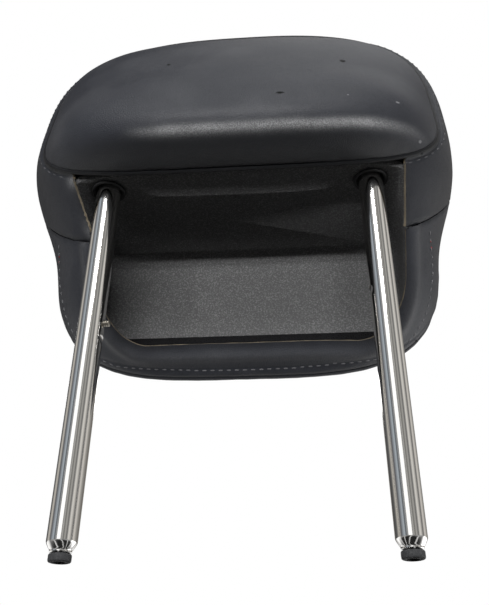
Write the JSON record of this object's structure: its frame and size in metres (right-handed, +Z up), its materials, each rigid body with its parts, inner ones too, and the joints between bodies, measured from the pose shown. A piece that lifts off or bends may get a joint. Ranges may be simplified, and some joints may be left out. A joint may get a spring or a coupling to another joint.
{
  "type": "vehicle seat head restraint",
  "caption": "Padded leather head restraint for a car seat: crowned cushion with a plastic tray beneath, on hollow chrome posts with locking notches and a sprung stop button.",
  "frame": {"origin": "midway between the two posts, level with the bottoms of their end plugs", "axes": "+Z up along the posts, +Y forward to the occupant, +X to the part's right as seen from behind"},
  "size_m": [0.266, 0.1436, 0.3672],
  "materials": {
    "left_post": "bright chrome plate",
    "right_post": "bright chrome plate",
    "cross_bar": "plain zinc-plated steel",
    "left_post_collar": "plain zinc-plated steel",
    "right_post_collar": "plain zinc-plated steel",
    "left_end_plug": "fine-grained black moulded plastic",
    "right_end_plug": "fine-grained black moulded plastic",
    "stop_spring": "plain zinc-plated steel",
    "carrier_rear": "fine-grained black moulded plastic",
    "carrier_front": "fine-grained black moulded plastic",
    "carrier_screw_1": "plain zinc-plated steel",
    "carrier_screw_2": "plain zinc-plated steel",
    "carrier_screw_3": "plain zinc-plated steel",
    "carrier_screw_4": "plain zinc-plated steel",
    "bottom_tray": "fine-grained black moulded plastic",
    "left_bush": "fine-grained black moulded plastic",
    "right_bush": "fine-grained black moulded plastic",
    "foam_core": null,
    "rear_cover": "grained charcoal leather",
    "left_cheek_cover": "grained charcoal leather",
    "right_cheek_cover": "grained charcoal leather",
    "lip_cover": "grained charcoal leather",
    "front_cover": "grained charcoal leather",
    "rear_piping": "grained charcoal leather",
    "stop_button": "plain zinc-plated steel"
  },
  "bodies": {
    "restraint": {"left_post": "left_post", "right_post": "right_post", "cross_bar": "cross_bar", "left_post_collar": "left_post_collar", "right_post_collar": "right_post_collar", "left_end_plug": "left_end_plug", "right_end_plug": "right_end_plug", "stop_spring": "stop_spring", "carrier_rear": "carrier_rear", "carrier_front": "carrier_front", "carrier_screw_1": "carrier_screw_1", "carrier_screw_2": "carrier_screw_2", "carrier_screw_3": "carrier_screw_3", "carrier_screw_4": "carrier_screw_4", "bottom_tray": "bottom_tray", "left_bush": "left_bush", "right_bush": "right_bush", "foam_core": "foam_core", "rear_cover": "rear_cover", "left_cheek_cover": "left_cheek_cover", "right_cheek_cover": "right_cheek_cover", "lip_cover": "lip_cover", "front_cover": "front_cover", "rear_piping": "rear_piping"},
    "button": {"stop_button": "stop_button"}
  },
  "joints": [
    {"name": "button_press", "type": "slide", "parent": "restraint", "child": "button", "axis": [-1, 0, 0], "range_m": [0, 0.0024], "stiffness_N_per_m": 800, "springref_m": -0.002, "deforming": ["stop_spring"]}
  ]
}
